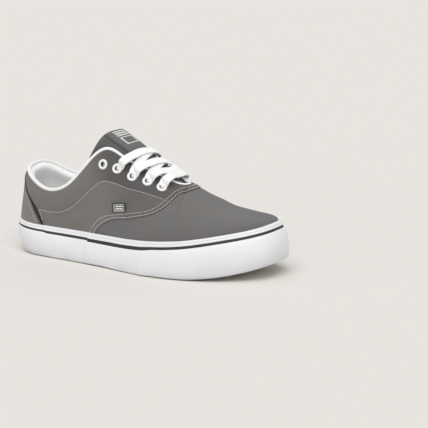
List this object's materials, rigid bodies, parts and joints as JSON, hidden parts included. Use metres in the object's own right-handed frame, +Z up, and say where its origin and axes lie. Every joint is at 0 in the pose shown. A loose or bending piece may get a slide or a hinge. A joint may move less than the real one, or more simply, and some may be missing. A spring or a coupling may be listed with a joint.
{
  "type": "skateboarding shoe",
  "caption": "Low lace-up skateboarding shoe for the right foot with a hollow canvas upper, padded tongue, bound collar, flat laces and a tall vulcanised rubber sole with toe bumper",
  "frame": {"origin": "centre of the bottom of the bounding box, on the floor under the sole", "axes": "+X from heel to toe, +Y to the inner (medial) side, +Z up"},
  "size_m": [0.2896, 0.1174, 0.13],
  "materials": {
    "canvas": "cotton twill, matt",
    "canvas_tongue": "cotton twill over foam, matt",
    "rubber_white": "vulcanised, satin",
    "rubber_dark": "vulcanised, satin",
    "rubber_outsole": "vulcanised, matt",
    "cord_dark": "woven piping",
    "binding_white": "folded twill tape",
    "woven_label": "woven, matt",
    "insole_cloth": "cloth over foam",
    "lace_white": "flat cotton weave",
    "eyelet_enamel": "white enamel, gloss"
  },
  "bodies": {
    "root": {"collar_binding": "binding_white", "counter_piping": "cord_dark", "eyelet_inner_1": "eyelet_enamel", "eyelet_inner_2": "eyelet_enamel", "eyelet_inner_3": "eyelet_enamel", "eyelet_inner_4": "eyelet_enamel", "eyelet_inner_5": "eyelet_enamel", "eyelet_outer_1": "eyelet_enamel", "eyelet_outer_2": "eyelet_enamel", "eyelet_outer_3": "eyelet_enamel", "eyelet_outer_4": "eyelet_enamel", "eyelet_outer_5": "eyelet_enamel", "foxing": "rubber_white", "heel_counter": "canvas", "insole": "insole_cloth", "laces": "lace_white", "outsole": "rubber_outsole", "pinstripe": "rubber_dark", "side_tag": "woven_label", "toe_bumper": "rubber_white", "tongue": "canvas_tongue", "tongue_label": "woven_label", "top_strip": "rubber_white", "upper": "canvas", "vamp_seam": "canvas"}
  },
  "joints": []
}
